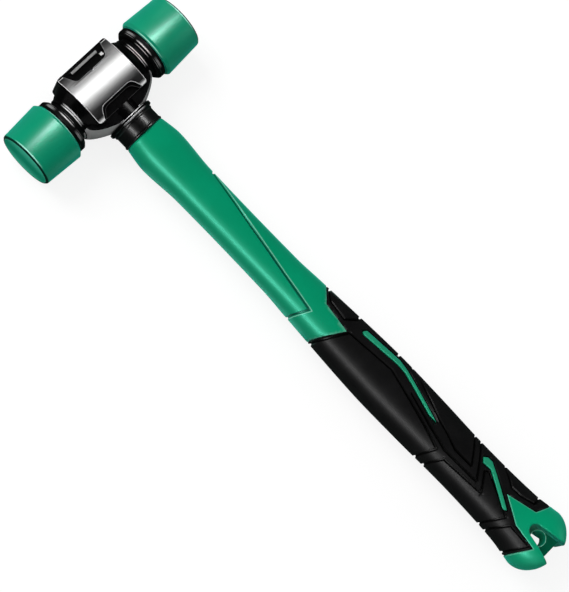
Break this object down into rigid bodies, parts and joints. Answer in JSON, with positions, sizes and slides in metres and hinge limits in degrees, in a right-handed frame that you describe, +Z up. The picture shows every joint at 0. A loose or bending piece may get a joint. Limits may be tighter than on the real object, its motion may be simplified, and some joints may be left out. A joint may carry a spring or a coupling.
{
  "type": "soft face hammer",
  "caption": "Soft face hammer with a black steel head, screw-in green nylon striking faces and a moulded green and black handle with a hanging slot in its butt",
  "frame": {"origin": "on the surface under the middle of the hammer's length and of the head's length, as it lies on the rims of its two faces", "axes": "+X from the head to the butt along the handle, +Y along the head, +Z up through a cheek of the head"},
  "size_m": [0.2706, 0.0844, 0.027],
  "materials": {
    "head_steel": "gloss black over forged steel, with a polished panel on each cheek",
    "face_nylon": "glossy moulded green nylon",
    "stud_steel": "turned steel",
    "washer_steel": "blanked spring steel",
    "eye_resin": "cast amber resin",
    "glass_fibre": "pultruded glass fibre",
    "collar_black": "glossy black moulding",
    "jacket_green": "satin moulded green plastic",
    "grip_rubber": "matt black moulded rubber"
  },
  "bodies": {
    "hammer": {"head_body": "head_steel", "eye_bond": "eye_resin", "core_rod": "glass_fibre", "collar": "collar_black", "handle_jacket": "jacket_green", "grip": "grip_rubber"},
    "near_washer": {"washer_near": "washer_steel"},
    "near_face": {"face_near": "face_nylon", "stud_near": "stud_steel"},
    "far_washer": {"washer_far": "washer_steel"},
    "far_face": {"face_far": "face_nylon", "stud_far": "stud_steel"}
  },
  "joints": [
    {"name": "near_face_travel", "type": "slide", "parent": "hammer", "child": "near_washer", "axis": [0, -1, 0], "range_m": [0, 0.012]},
    {"name": "near_face_turn", "type": "hinge", "parent": "near_washer", "child": "near_face", "pos_m": [-0.1214, -0.0237, 0.0135], "axis": [0, -1, 0], "range_deg": [0, 2880]},
    {"name": "far_face_travel", "type": "slide", "parent": "hammer", "child": "far_washer", "axis": [0, 1, 0], "range_m": [0, 0.012]},
    {"name": "far_face_turn", "type": "hinge", "parent": "far_washer", "child": "far_face", "pos_m": [-0.1214, 0.0237, 0.0135], "axis": [0, 1, 0], "range_deg": [0, 2880]}
  ],
  "couplings": [
    {"joint": "near_face_travel", "follows": "near_face_turn", "m_per_rad": 0.00023873},
    {"joint": "far_face_travel", "follows": "far_face_turn", "m_per_rad": 0.00023873}
  ]
}
